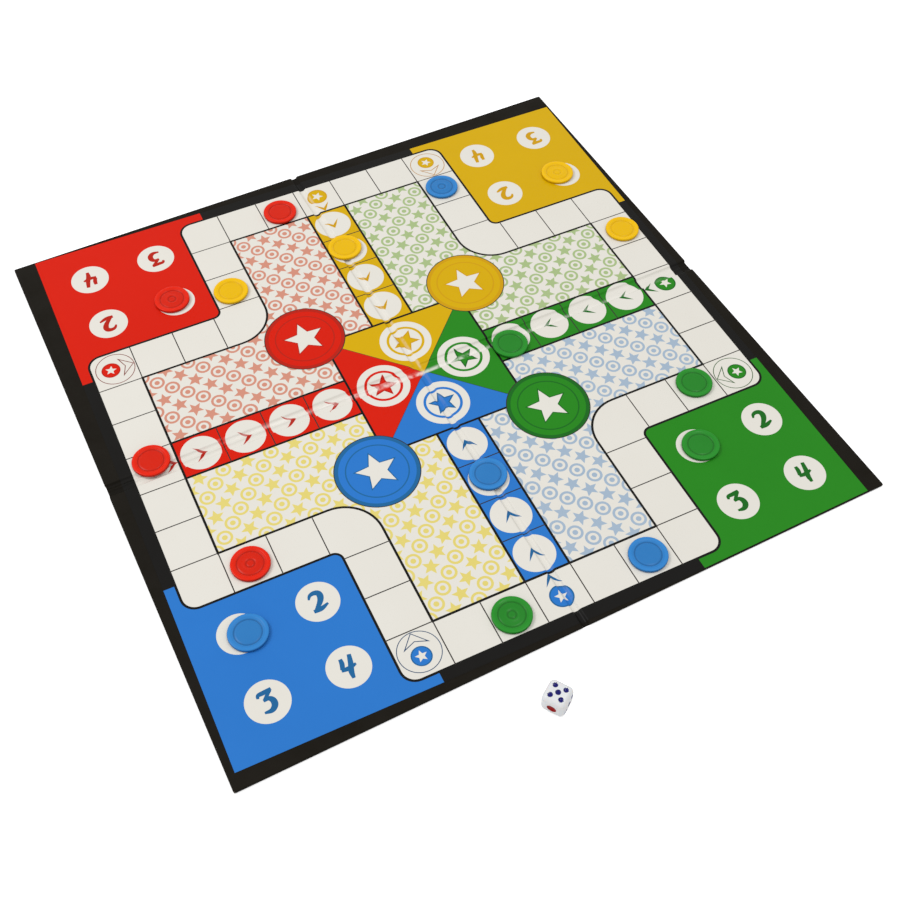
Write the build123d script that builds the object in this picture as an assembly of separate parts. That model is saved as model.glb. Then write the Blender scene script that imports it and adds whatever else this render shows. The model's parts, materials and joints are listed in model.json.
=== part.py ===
"""Folding ludo board laid out flat, with sixteen counters and a die.

The board is four chipboard panels on one black wrap, which is also the hinge: it runs on across a
narrow fold line (x = 0) and a wide one (y = 0).  A printed label covers the panels and dips into
both lines.  Millimetres, +Z up, origin at the board's centre on its underside.
"""
import os
from math import cos, radians, sin, sqrt, tan

from build123d import *

# ---- board -------------------------------------------------------------------------------------
board_side = 357.0          # open board, edge to edge, both ways
core_thickness = 1.5        # chipboard
wrap_thickness = 0.15       # black leatherette: back, edges and turned-in border
label_thickness = 0.15      # printed and laminated paper
core_edge_radius = 0.35     # worn outer edges and corners of the chipboard
shoulder_radius = 0.5       # chipboard edges along the fold lines
closed_gap = 0.2            # between two faces that lie on each other when folded
seam_gap = 0.1              # between the two halves of a hinge strip, on the fold line

# ---- label and its printed grid ----------------------------------------------------------------
label_border = 4.5          # label's front and back to the board's edge, were it straight and central
label_side_border = 6.8     # the same for its two sides
label_turn = -1.93          # degrees: the label was glued on slightly turned ...
label_shift_x = 2.0         # ... and off centre, so two of its edges are trimmed by the board's edge
label_shift_y = -2.2
label_skew = 0.5            # degrees: its two sides were cut leaning ...
label_cut_shift = -0.8      # ... and not quite central about the print
track_inset = 6.5           # label's front edge to the outer line of the track
cells_to_track_edge = 6.7   # centre to the outer line: 6.5 cells, and the corner cells' extra 0.2

# ---- counters ----------------------------------------------------------------------------------
counter_diameter = 20.0
counter_thickness = 2.0
counter_edge_bevel = 0.35
rim_width = 2.2             # flat rim round the recess
recess_depth = 0.4
recess_slope = 0.35         # width of the recess's slanted wall
step_radius = 5.2           # ringed face: a low step in the recess ...
step_height = 0.15
button_radius = 2.0         # ... and a button on the step
button_height = 0.12
counter_running_gap = 0.25  # to the fold's floor, while the other half turns past

# ---- die ---------------------------------------------------------------------------------------
die_side = 12.0
die_edge_radius = 1.7
pip_diameter = 2.2
pip_depth = 0.45
one_pip_diameter = 4.2
one_pip_depth = 0.7
pip_pitch = 3.3             # from the middle of a face to its outer pips
pip_taper = 0.15            # how much narrower a pip's floor is than its mouth, each side
paint_thickness = 0.1
paint_margin = 0.05         # bare floor round the paint
die_stand_off = 27.4        # board's front edge to the die's centre
die_side_shift = -32.4
die_turn = -56.1            # degrees

# ---- worked out from the above -----------------------------------------------------------------
half_board = board_side / 2
label_depth = board_side - 2 * label_border
label_width = board_side - 2 * label_side_border
panel_thickness = wrap_thickness + core_thickness + label_thickness
floor_thickness = wrap_thickness + label_thickness
core_top = wrap_thickness + core_thickness
narrow_axis_height = panel_thickness + closed_gap / 2        # hinge line over x = 0
wide_axis_height = 2 * narrow_axis_height + closed_gap / 2   # hinge line over y = 0: folds a stack
narrow_half = narrow_axis_height                             # half widths of the two fold lines
wide_half = wide_axis_height
narrow_wall = narrow_half - label_thickness                  # the label's faces inside the fold lines
wide_wall = wide_half - label_thickness
seam_half = seam_gap / 2
wrap_edge_radius = core_edge_radius + wrap_thickness
label_shoulder_radius = shoulder_radius + label_thickness
counter_radius = counter_diameter / 2
recess_radius = counter_radius - rim_width
cell = (label_depth / 2 - track_inset) / cells_to_track_edge

# A counter beside the wide fold line may reach over it only so far that its edge, turning about
# the hinge line, stays clear of the line's floor.
turning_reach = wide_axis_height - floor_thickness - counter_edge_bevel - counter_running_gap
resting_drop = wide_axis_height - panel_thickness - counter_edge_bevel
fold_overhang = sqrt(turning_reach ** 2 - resting_drop ** 2) + counter_edge_bevel
beside_fold = counter_radius - fold_overhang

PANELS = {"blue": (-1, -1), "green": (1, -1), "red": (-1, 1), "yellow": (1, 1)}

# Counters: place on the label's grid in cells, and whether the ringed face is up.
COUNTERS = {
    "red_1": (-1.09, 6.11, False),
    "red_2": (-4.38, 4.41, True),
    "red_4": (-5.15, -3.07, True),
    "yellow_1": (-3.06, 4.09, False),
    "yellow_2": (5.76, 4.49, True),
    "yellow_3": (-0.12, 4.29, False),
    "yellow_4": (6.21, 2.01, False),
    "blue_1": (2.89, 5.25, True),
    "blue_2": (-5.70, -4.48, False),
    "blue_3": (0.02, -3.13, False),
    "blue_4": (2.01, -6.22, False),
    "green_2": (4.40, -4.37, False),
    "green_3": (5.19, -2.86, False),
    "green_4": (-1.03, -6.27, True),
}
# Two more beside the wide fold line: (place along it, in cells; side of it; ringed face up).
COUNTERS_BY_FOLD = {
    "red_3": (-6.17, 1, False),
    "green_1": (2.06, -1, False),
}

# Pips of each face, in steps of pip_pitch across it.
FACE_DOTS = {
    2: [(-1, -1), (1, 1)],
    3: [(-1, -1), (0, 0), (1, 1)],
    4: [(-1, -1), (-1, 1), (1, -1), (1, 1)],
    5: [(-1, -1), (-1, 1), (0, 0), (1, -1), (1, 1)],
    6: [(-1, -1), (-1, 0), (-1, 1), (1, -1), (1, 0), (1, 1)],
}
FACE_NORMALS = {
    2: Vector(0, 0, -1),
    3: Vector(1, 0, 0),
    4: Vector(-1, 0, 0),
    5: Vector(0, 0, 1),
    6: Vector(0, 1, 0),
}
ONE_NORMAL = Vector(0, -1, 0)


def span_box(x_range, y_range, z_range):
    """Box between two limits along each axis, given in either order."""
    lows = [min(pair) for pair in (x_range, y_range, z_range)]
    sizes = [abs(pair[1] - pair[0]) for pair in (x_range, y_range, z_range)]
    return Pos(*lows) * Box(*sizes, align=(Align.MIN, Align.MIN, Align.MIN))


def edges_near(solid, axis, place, heights):
    """Level edges whose middle lies at a place along an axis and at one of some heights."""
    found = []
    for edge in solid.edges():
        middle = edge.center()
        value = middle.X if axis == "x" else middle.Y
        if abs(value - place) < 0.01 and any(abs(middle.Z - height) < 0.01 for height in heights):
            found.append(edge)
    return ShapeList(found)


# ---- the board's layers ------------------------------------------------------------------------
def rounded_slab(sx, sy, inner_x, inner_y, outer, low, high, radius):
    """A quadrant's slab whose two outer sides are rounded along the top and the bottom."""
    slab = span_box((sx * inner_x, sx * outer), (sy * inner_y, sy * outer), (low, high))
    rims = edges_near(slab, "x", sx * outer, [low, high]) + edges_near(slab, "y", sy * outer, [low, high])
    return fillet(rims, radius)


def core(sx, sy):
    """One chipboard panel."""
    outer = half_board - wrap_thickness
    slab = rounded_slab(sx, sy, narrow_half, wide_half, outer, wrap_thickness, core_top, core_edge_radius)
    shoulders = edges_near(slab, "x", sx * narrow_half, [core_top])
    shoulders += edges_near(slab, "y", sy * wide_half, [core_top])
    return fillet(shoulders, shoulder_radius)


def covering(sx, sy):
    """A quadrant's whole outer form: the panel with its shoulders, and the floors of the fold lines."""
    form = rounded_slab(sx, sy, seam_half, seam_half, half_board, 0, panel_thickness, wrap_edge_radius)
    beyond = half_board + 1
    panel = span_box((sx * narrow_wall, sx * beyond), (sy * wide_wall, sy * beyond), (-1, panel_thickness))
    shoulders = edges_near(panel, "x", sx * narrow_wall, [panel_thickness])
    shoulders += edges_near(panel, "y", sy * wide_wall, [panel_thickness])
    panel = fillet(shoulders, label_shoulder_radius)
    floor = span_box((0, sx * beyond), (0, sy * beyond), (-1, floor_thickness))
    centre = span_box((0, sx * narrow_wall), (0, sy * wide_wall), (-1, panel_thickness + 1))
    return (form & (panel + floor)) - centre


def label_outline():
    """The label's plan: a turned and shifted sheet, trimmed where it would pass the board's edge."""
    trim = board_side - 2 * wrap_edge_radius
    lean = tan(radians(label_skew)) * label_depth / 2
    left = label_cut_shift - label_width / 2
    right = label_cut_shift + label_width / 2
    low = -label_depth / 2
    corners = [(left + lean, low), (right + lean, low), (right - lean, -low), (left - lean, -low)]
    sheet = make_face(Polyline(*corners, close=True))
    return Pos(label_shift_x, label_shift_y) * Rot(0, 0, label_turn) * sheet & Rectangle(trim, trim)


def crossing():
    """The wrap where the two fold lines cross, which stays with the green panel."""
    return span_box((-narrow_wall, narrow_wall), (-wide_wall, wide_wall), (0, wrap_thickness))


def panel_layers(colour):
    """Core, wrap and label of one panel."""
    sx, sy = PANELS[colour]
    board = core(sx, sy)
    skin = covering(sx, sy) - board
    prism = Pos(0, 0, wrap_thickness) * extrude(label_outline(), panel_thickness)
    label = skin & prism
    wrap = skin - prism
    if colour == "green":
        wrap += crossing()
    return {f"core_{colour}": board, f"wrap_{colour}": wrap, f"label_{colour}": label}


# ---- counters ----------------------------------------------------------------------------------
def counter():
    """A moulded disc: a plain recess on top, and a recess with a step and a button underneath."""
    half = counter_thickness / 2
    floor = half - recess_depth
    step_level = -floor - step_height
    button_level = step_level - button_height
    with BuildSketch(Plane.XZ) as section:
        with BuildLine():
            Polyline(
                (0, button_level),
                (button_radius, button_level),
                (button_radius, step_level),
                (step_radius, step_level),
                (step_radius, -floor),
                (recess_radius - recess_slope, -floor),
                (recess_radius, -half),
                (counter_radius, -half),
                (counter_radius, half),
                (recess_radius, half),
                (recess_radius - recess_slope, floor),
                (0, floor),
                close=True,
            )
        make_face()
        rim = section.vertices().filter_by(lambda vertex: vertex.X > counter_radius - 0.01)
        chamfer(rim, counter_edge_bevel)
    return revolve(section.sketch, Axis.Z)


def on_grid(u, v):
    """Place on the label's grid, in cells, as x and y on the board."""
    turn = radians(label_turn)
    x = label_shift_x + cell * (u * cos(turn) - v * sin(turn))
    y = label_shift_y + cell * (u * sin(turn) + v * cos(turn))
    return x, y


def counter_places():
    """Every counter's x, y and whether its ringed face is up."""
    places = {}
    for name, (u, v, ringed_up) in COUNTERS.items():
        x, y = on_grid(u, v)
        places[name] = (x, y, ringed_up)
    for name, (u, side, ringed_up) in COUNTERS_BY_FOLD.items():
        places[name] = (on_grid(u, 0)[0], side * beside_fold, ringed_up)
    return places


def placed_counter(x, y, ringed_up):
    """A counter lying on the label."""
    turn_over = Rot(180, 0, 0) if ringed_up else Rot(0, 0, 0)
    return Pos(x, y, panel_thickness + counter_thickness / 2) * turn_over * counter()


# ---- die ---------------------------------------------------------------------------------------
def face_plane(normal):
    """The plane of the die's face with this normal, its origin in the face's middle."""
    return Plane(origin=normal * (die_side / 2), z_dir=normal)


def hollow(radius, depth):
    """A pip's hollow, a shallow funnel with a flat floor, below a face at z = 0."""
    return Pos(0, 0, -depth / 2) * Cone(radius - pip_taper, radius, depth)


def paint(radius, depth):
    """The paint on the floor of a hollow."""
    disc = Cylinder(radius - pip_taper - paint_margin, paint_thickness)
    return Pos(0, 0, -depth + paint_thickness / 2) * disc


def blue_places():
    """Where each blue pip is: its face's plane, moved along the face."""
    places = []
    for value, dots in FACE_DOTS.items():
        for across, up in dots:
            places.append(face_plane(FACE_NORMALS[value]).location * Pos(across * pip_pitch, up * pip_pitch))
    return places


def die_pieces():
    """The die's body, the blue paint in its pips and the red paint in its one."""
    cube = Box(die_side, die_side, die_side)
    body = fillet(cube.edges(), die_edge_radius)
    one_place = face_plane(ONE_NORMAL).location
    for place in blue_places():
        body -= place * hollow(pip_diameter / 2, pip_depth)
    body -= one_place * hollow(one_pip_diameter / 2, one_pip_depth)
    blue_paint = Compound(children=[place * paint(pip_diameter / 2, pip_depth) for place in blue_places()])
    red_paint = one_place * paint(one_pip_diameter / 2, one_pip_depth)
    stand = Pos(die_side_shift, -half_board - die_stand_off, die_side / 2) * Rot(0, 0, die_turn)
    return {"die_body": stand * body, "die_paint_blue": stand * blue_paint, "die_paint_red": stand * red_paint}


# ---- all nodes ---------------------------------------------------------------------------------
def all_nodes():
    """Every node's name and solid."""
    nodes = {}
    for colour in PANELS:
        nodes.update(panel_layers(colour))
    for name, place in counter_places().items():
        nodes[f"counter_{name}"] = placed_counter(*place)
    nodes.update(die_pieces())
    return nodes


os.makedirs("parts", exist_ok=True)
for node_name, shape in all_nodes().items():
    export_step(shape, f"parts/{node_name}.step")

print(f"hinge lines at {narrow_axis_height:.2f} over x = 0 and {wide_axis_height:.2f} over y = 0")
print(f"cell {cell:.2f}, counters beside the wide fold line stand {beside_fold:.2f} off it")
for counter_name, (place_x, place_y, _) in counter_places().items():
    print(f"counter_{counter_name}: {place_x:.2f}, {place_y:.2f}")
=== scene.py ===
"""Looks of a folding ludo board, its sixteen counters and its die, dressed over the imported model.

The label is one printed sheet, cut where the panels turn, and draped over the fold lines.  Sizes are
in millimetres and turn to metres where a mesh is made.  The print's own sizes are in cells of the
track, and those of a finish are in metres.
"""
from __future__ import annotations

import json
import logging
import math
import random
from dataclasses import dataclass, field
from enum import Enum
from typing import Callable, Iterable, Sequence, Union

import bmesh
import bpy
import numpy as np
from bpy.types import Material, Mesh, Node, NodeSocket, NodeTree, Object
from mathutils import Matrix, Vector, noise
from mathutils.geometry import delaunay_2d_cdt

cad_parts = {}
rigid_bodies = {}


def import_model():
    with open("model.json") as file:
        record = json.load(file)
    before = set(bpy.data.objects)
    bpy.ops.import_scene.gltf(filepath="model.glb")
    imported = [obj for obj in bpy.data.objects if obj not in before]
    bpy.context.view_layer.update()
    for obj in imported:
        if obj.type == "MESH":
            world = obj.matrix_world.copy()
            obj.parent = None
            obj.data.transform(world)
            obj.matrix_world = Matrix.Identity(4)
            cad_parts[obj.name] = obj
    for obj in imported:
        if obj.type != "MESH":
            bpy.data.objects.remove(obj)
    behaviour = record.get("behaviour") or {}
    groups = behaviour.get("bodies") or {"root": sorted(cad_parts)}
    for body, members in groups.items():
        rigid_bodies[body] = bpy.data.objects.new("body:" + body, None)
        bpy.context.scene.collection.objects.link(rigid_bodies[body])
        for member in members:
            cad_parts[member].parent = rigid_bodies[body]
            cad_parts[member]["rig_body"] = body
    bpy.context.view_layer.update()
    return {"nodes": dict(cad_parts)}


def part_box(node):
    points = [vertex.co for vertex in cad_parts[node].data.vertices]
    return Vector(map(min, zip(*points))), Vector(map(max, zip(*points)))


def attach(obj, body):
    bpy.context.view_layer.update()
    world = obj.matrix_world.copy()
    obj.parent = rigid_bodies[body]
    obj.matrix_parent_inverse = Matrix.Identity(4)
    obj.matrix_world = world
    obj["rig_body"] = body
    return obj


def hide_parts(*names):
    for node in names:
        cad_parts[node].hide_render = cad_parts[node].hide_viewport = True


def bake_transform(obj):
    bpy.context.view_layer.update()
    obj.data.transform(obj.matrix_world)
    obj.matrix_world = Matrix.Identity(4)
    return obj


LOG = logging.getLogger("ludo_board")
# Metres in a millimetre, and how near, in metres, two points are that become one.
MM = 0.001
MERGE = 2e-6
WHITE = (1.0, 1.0, 1.0, 1.0)
Point = tuple[float, float]
Point3 = tuple[float, float, float]
Display = tuple[int, int, int]
Face = Sequence[int]
Skin = tuple[list[Point3], list[Face]]
Sockets = Sequence[NodeSocket]
Term = Union[NodeSocket, float, Sequence[float]]


# ---- colour and node helpers -------------------------------------------------------------------
def linear(display: Display) -> tuple[float, ...]:
    """Turn a display colour of 0 to 255 into the renderer's linear one, with full alpha."""
    parts = [value / 255.0 for value in display]
    return (*(p / 12.92 if p <= 0.04045 else ((p + 0.055) / 1.055) ** 2.4 for p in parts), 1.0)


class Graph:
    """A node tree with short ways to add to it."""

    def __init__(self, tree: NodeTree) -> None:
        """Wrap a tree."""
        self.tree = tree

    def put(self, socket: NodeSocket, value: Term) -> None:
        """Link another socket to an input, or set the input's value.

        Args:
            socket: The input.
            value: The other socket, or the plain value.
        """
        if isinstance(value, NodeSocket):
            self.tree.links.new(value, socket)
        else:
            socket.default_value = value

    def add(self, kind: str, *terms: Term, **values: object) -> Node:
        """Add a shader node.

        Args:
            kind: Its type, without the leading ShaderNode.
            *terms: What its first inputs take, in order.
            **values: Its settings in lower case, and other inputs by name, with _ for a space.

        Returns:
            The node.
        """
        made = self.tree.nodes.new("ShaderNode" + kind)
        for name, value in values.items():
            if name.islower():
                setattr(made, name, value)
            else:
                self.put(made.inputs[name.replace("_", " ")], value)
        for socket, term in zip(made.inputs, terms):
            self.put(socket, term)
        return made

    def place(self) -> NodeSocket:
        """The place on the object, in metres."""
        return self.add("TexCoord").outputs["Object"]

    def maths(self, operation: str, *terms: Term) -> NodeSocket:
        """The result of a maths node."""
        return self.add("Math", *terms, operation=operation).outputs[0]

    def product(self, first: NodeSocket, *others: NodeSocket) -> NodeSocket:
        """Multiply some values.

        Args:
            first: The first value.
            *others: The values to multiply it by.

        Returns:
            The product.
        """
        for other in others:
            first = self.maths("MULTIPLY", first, other)
        return first

    def mix(self, share: Term, one: Term, two: Term, colours: bool = True) -> NodeSocket:
        """Mix two colours, or two values.

        Args:
            share: The second one's share.
            one: The first colour or value.
            two: The second one.
            colours: Whether they are colours.

        Returns:
            The mixture.
        """
        node = self.add("Mix", share, data_type="RGBA" if colours else "FLOAT")
        first, result = (6, 2) if colours else (2, 0)
        self.put(node.inputs[first], one)
        self.put(node.inputs[first + 1], two)
        return node.outputs[result]

    def ramp(self, value: NodeSocket, start: Term = 0.0, end: Term = 1.0, first: Term = 0.0,
             last: Term = 1.0, kind: str = "LINEAR") -> NodeSocket:
        """Carry a value from its own span, start to end, to another, first to last, and keep it there."""
        return self.add("MapRange", value, start, end, first, last, interpolation_type=kind).outputs[0]

    def band(self, across: NodeSocket, centre: NodeSocket, width: NodeSocket) -> NodeSocket:
        """A soft band along a line: 1 in its middle, 0 a width away from it."""
        away = self.maths("ABSOLUTE", self.maths("SUBTRACT", across, centre))
        return self.ramp(self.maths("DIVIDE", away, width), first=1.0, last=0.0, kind="SMOOTHSTEP")


class Effects:
    """Node groups that several finishes share, each made once, with one output each."""

    def __init__(self) -> None:
        """Build the groups."""
        self.mottle = self._group("uneven_colour", self._mottle, "Colour", Base=(0.5, 0.5, 0.5, 1.0),
                                  Drift=(0.4, 0.4, 0.4, 1.0), Scale=30.0, Amount=0.3)
        self.grain = self._group("pressed_grain", self._grain, "Height", Scale=1200.0, Cells=0.5)
        self.gloss = self._group("uneven_gloss", self._gloss, "Roughness", Least=0.3, Most=0.5, Scale=40.0)
        self.crease = self._group("painted_fold_highlight_streaks", self._crease, "Mask", Wide_Width=0.0024,
                                  Narrow_Width=0.0012, Narrow_Lip=0.0017, Narrow_Share=0.3, Amount=0.5)
        self.cavity = self._group("cavity_tone", self._cavity, "Value", Low=0.0, Level=0.5, High=1.0)

    @staticmethod
    def _group(name: str, fill: Callable[[Graph, Sockets], NodeSocket], output: str,
               **inputs: Term) -> NodeTree:
        """Make a group.

        Args:
            name: Its name.
            fill: Adds the nodes between its inputs and its output.
            output: The output's name.
            **inputs: Default of each input, a float or a colour, by name, with _ for a space.

        Returns:
            The group.
        """
        graph = Graph(bpy.data.node_groups.new(name, "ShaderNodeTree"))
        interface = graph.tree.interface
        for label, default in inputs.items():
            kind = "NodeSocketFloat" if isinstance(default, float) else "NodeSocketColor"
            label = label.replace("_", " ")
            interface.new_socket(label, in_out="INPUT", socket_type=kind).default_value = default
        kind = "NodeSocketColor" if output == "Colour" else "NodeSocketFloat"
        interface.new_socket(output, in_out="OUTPUT", socket_type=kind)
        given = graph.tree.nodes.new("NodeGroupInput").outputs
        graph.put(graph.tree.nodes.new("NodeGroupOutput").inputs[0], fill(graph, given))
        return graph.tree

    @staticmethod
    def _mottle(graph: Graph, given: Sockets) -> NodeSocket:
        """Uneven colour: a base colour drifts towards a second one in soft patches.

        Args:
            graph: The group's graph.
            given: Its inputs.

        Returns:
            The colour.
        """
        cloud = graph.add("TexNoise", graph.place(), Scale=given["Scale"], Detail=4.0, Roughness=0.6)
        share = graph.product(cloud.outputs["Fac"], given["Amount"])
        return graph.mix(share, given["Base"], given["Drift"])

    @staticmethod
    def _grain(graph: Graph, given: Sockets) -> NodeSocket:
        """Pressed grain: cells and noise mixed to one height.

        Args:
            graph: The group's graph.
            given: Its inputs.

        Returns:
            The height.
        """
        where, scale = graph.place(), given["Scale"]
        cells = graph.add("TexVoronoi", where, feature="SMOOTH_F1", Scale=scale)
        fine = graph.add("TexNoise", where, Scale=scale, Detail=5.0, Roughness=0.65)
        return graph.mix(given["Cells"], fine.outputs["Fac"], cells.outputs["Distance"], colours=False)

    @staticmethod
    def _gloss(graph: Graph, given: Sockets) -> NodeSocket:
        """Uneven gloss: a roughness that wanders between two values, with handling marks.

        Args:
            graph: The group's graph.
            given: Its inputs.

        Returns:
            The roughness.
        """
        cloud = graph.add("TexNoise", graph.place(), Scale=given["Scale"], Detail=6.0, Roughness=0.7,
                          Distortion=0.6)
        return graph.ramp(cloud.outputs["Fac"], start=0.3, end=0.7, first=given["Least"], last=given["Most"])

    @staticmethod
    def _crease(graph: Graph, given: Sockets) -> NodeSocket:
        """Painted highlight streaks on the folds, which also stand for whitened cracks: a broken line slants
        over the wide one, another follows the narrow one.

        Args:
            graph: The group's graph.
            given: Its inputs.

        Returns:
            The share of painted highlight, 0 where none is painted.
        """
        where = graph.place()
        across, along = graph.add("SeparateXYZ", where).outputs[:2]
        cracks = graph.add("TexNoise", where, Scale=170.0, Detail=5.0, Roughness=0.7)
        broken = graph.ramp(cracks.outputs["Fac"], start=0.36, end=0.56)
        slant = graph.ramp(across, start=-0.115, end=0.0, first=0.0036, last=-0.0023)
        fading = graph.ramp(graph.maths("ABSOLUTE", across), start=0.0, end=0.15, first=1.0, last=0.1)
        behind = graph.ramp(along, start=-0.002, end=0.002, first=0.25, last=1.0)
        wide = graph.product(graph.band(along, slant, given["Wide Width"]), fading)
        narrow = graph.band(across, given["Narrow Lip"], given["Narrow Width"])
        either = graph.maths("MAXIMUM", wide, graph.product(narrow, behind, given["Narrow Share"]))
        return graph.product(either, broken, given["Amount"])

    @staticmethod
    def _cavity(graph: Graph, given: Sockets) -> NodeSocket:
        """Painted shade and highlight by height, 1 at the level: painted shade darkens the hollows, a
        painted highlight lightens the raised edges.

        Args:
            graph: The group's graph.
            given: Its inputs.

        Returns:
            The painted shade and highlight, by which a colour is multiplied.
        """
        height = graph.add("SeparateXYZ", graph.place()).outputs["Z"]
        return graph.product(graph.ramp(height, given["Low"], given["Level"], first=0.72, last=1.0),
                             graph.ramp(height, given["Level"], given["High"], first=1.0, last=1.2))


# ---- finishes and colours ----------------------------------------------------------------------
def start_material(name: str) -> tuple[Material, Graph, Node]:
    """Begin a material.

    Args:
        name: Its name.

    Returns:
        The material, its graph and its shader.
    """
    made = bpy.data.materials.new(name)
    made.use_nodes = True
    return made, Graph(made.node_tree), made.node_tree.nodes["Principled BSDF"]


@dataclass(frozen=True)
class FoldHighlight:
    """Painted highlight streaks along the fold lines.

    Attributes:
        colour: Display colour of the painted highlight.
        amount: How far it shows on the wide fold.
        narrow_share: The narrow fold's part of that.
    """

    colour: Display
    amount: float
    narrow_share: float


@dataclass(frozen=True)
class Finish:
    """A surface: a slightly uneven colour, a grain and an uneven gloss, with painted highlight streaks along
    the folds and painted shade and highlight by height where given.

    Attributes:
        name: The material's name.
        base: Display colour.
        drift: Display colour that it wanders towards.
        patches: How many patches of that to the metre, and how far it wanders.
        rough: Roughness where it is glossiest and where it is dullest.
        grain: Grains to the metre, share of cells against noise, and depth in metres.
        specular: Specular level.
        scatter: Subsurface weight.
        wear: Painted highlight streaks along the fold lines.
        heights: Heights of the hollows, the level and the raised edges, in metres: painted shade darkens
            below the level, a painted highlight lightens above it.
    """

    name: str
    base: Display
    drift: Display
    patches: Point
    rough: Point
    grain: Point3
    specular: float
    scatter: float = 0.0
    wear: FoldHighlight | None = None
    heights: Point3 | None = None

    def build(self, effects: Effects) -> Material:
        """Make the material.

        Args:
            effects: The shared node groups.

        Returns:
            The material.
        """
        made, graph, shader = start_material(self.name)

        def effect(group: NodeTree, **values: Term) -> NodeSocket:
            """What a shared group gives for some values."""
            return graph.add("Group", node_tree=group, **values).outputs[0]

        scale, share = self.patches
        shown = effect(effects.mottle, Base=linear(self.base), Drift=linear(self.drift), Scale=scale,
                       Amount=share)
        # Painted highlight streaks along the folds, mixed into the colour.
        if self.wear:
            mask = effect(effects.crease, Amount=self.wear.amount, Narrow_Share=self.wear.narrow_share)
            shown = graph.mix(mask, shown, linear(self.wear.colour))
        # Painted shade in the hollows and a painted highlight on raised edges, by height.
        if self.heights:
            tone = effect(effects.cavity, **dict(zip(("Low", "Level", "High"), self.heights)))
            shown = graph.add("HueSaturation", Value=tone, Color=shown).outputs[0]
        scale, cells, depth = self.grain
        bump = graph.add("Bump", Strength=1.0, Distance=depth,
                         Height=effect(effects.grain, Scale=scale, Cells=cells))
        given = {"Base Color": shown, "Normal": bump.outputs[0], "Specular IOR Level": self.specular,
                 "Roughness": effect(effects.gloss, Least=self.rough[0], Most=self.rough[1])}
        if self.scatter:
            given |= {"Subsurface Weight": self.scatter, "Subsurface Scale": 1.0,
                      "Subsurface Radius": (0.002, 0.0015, 0.0012)}
        for name, value in given.items():
            graph.put(shader.inputs[name], value)
        return made


# The leatherette has painted shade by height: darker in the fold valleys and down the wrap's edges and back.
LEATHERETTE = Finish("leatherette", (12, 8, 1), (23, 18, 9), patches=(60.0, 0.6), rough=(0.52, 0.74),
                     grain=(1500.0, 0.6, 0.00006), specular=0.11, heights=(0.0003, 0.0017, 0.003))
CHIPBOARD = Finish("chipboard", (126, 116, 102), (98, 90, 78), patches=(700.0, 0.9), rough=(0.85, 0.95),
                   grain=(2500.0, 0.2, 0.0001), specular=0.2)
DIE_WHITE = Finish("die_white", (232, 232, 232), (222, 224, 228), patches=(200.0, 0.8), rough=(0.22, 0.34),
                   grain=(500.0, 0.1, 0.00001), specular=0.5, scatter=0.25)
PIP_BLUE = Finish("pip_blue", (4, 2, 92), (14, 10, 128), patches=(900.0, 0.6), rough=(0.05, 0.1),
                  grain=(1500.0, 0.1, 0.000004), specular=0.2)
PIP_RED = Finish("pip_red", (166, 2, 0), (118, 2, 0), patches=(600.0, 0.7), rough=(0.2, 0.35),
                 grain=(1500.0, 0.1, 0.00001), specular=0.1)
# Painted highlight streaks along the folds: dim on the black print, and whitish on the other inks, where
# they also stand for whitened cracks in the laminate.
DIM_FOLD_HIGHLIGHT = FoldHighlight((60, 54, 46), 0.5, 0.0)
WHITISH_FOLD_HIGHLIGHT = FoldHighlight((252, 248, 242), 0.68, 0.45)


class Ink(Enum):
    """The printed label's colours, in the order of the label's material slots: base and drift."""

    PAPER = ((231, 228, 220), (225, 221, 211))
    BLACK = ((8, 7, 5), (14, 12, 9))
    RED = ((218, 28, 0), (208, 24, 0))
    YELLOW = ((217, 174, 0), (208, 166, 0))
    GREEN = ((38, 136, 26), (34, 127, 22))
    BLUE = ((44, 122, 206), (40, 115, 196))
    FINE_LINE = ((40, 37, 34), (58, 54, 50))
    PALE_RED = ((208, 138, 116), (214, 152, 132))
    PALE_YELLOW = ((226, 208, 110), (228, 214, 130))
    PALE_GREEN = ((164, 186, 128), (174, 194, 142))
    PALE_BLUE = ((158, 178, 198), (170, 188, 206))
    DARK_RED = ((186, 34, 16), (176, 28, 12))
    DARK_YELLOW = ((210, 160, 8), (200, 150, 4))
    DARK_GREEN = ((24, 106, 28), (20, 98, 24))
    DARK_BLUE = ((34, 104, 158), (28, 96, 148))
    LINE_RED = ((128, 44, 32), (118, 40, 28))
    LINE_YELLOW = ((188, 132, 40), (180, 124, 34))
    LINE_GREEN = ((40, 92, 34), (36, 84, 30))
    LINE_BLUE = ((38, 74, 110), (34, 68, 102))

    def finish(self) -> Finish:
        """The laminated print in this colour, with whitish painted highlight streaks along the folds, which
        also stand for whitened cracks; on black they are dim.

        Returns:
            The finish.
        """
        return Finish("print_" + self.name.lower(), *self.value, patches=(18.0, 0.9), rough=(0.32, 0.44),
                      grain=(900.0, 0.15, 0.000012), specular=0.12,
                      wear=DIM_FOLD_HIGHLIGHT if self is Ink.BLACK else WHITISH_FOLD_HIGHLIGHT)


class CounterColour(Enum):
    """Display colours of the counters: base and drift."""

    RED = ((208, 26, 0), (218, 38, 6))
    YELLOW = ((236, 188, 0), (228, 178, 0))
    GREEN = ((30, 126, 32), (40, 136, 42))
    BLUE = ((42, 118, 186), (52, 128, 194))

    def finish(self) -> Finish:
        """The moulded plastic in this colour, with painted shade in its hollows and a painted highlight on
        its raised edges; yellow shows them least.

        Returns:
            The finish.
        """
        # Heights of the painted shade and highlight; yellow's ramps are wider, so they show less.
        heights = (0.0028, 0.0034, 0.0042) if self is CounterColour.YELLOW else (0.0032, 0.0034, 0.00378)
        return Finish("counter_" + self.name.lower(), *self.value, patches=(90.0, 0.7), rough=(0.26, 0.42),
                      grain=(700.0, 0.1, 0.00002), specular=0.16, heights=heights)


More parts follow.
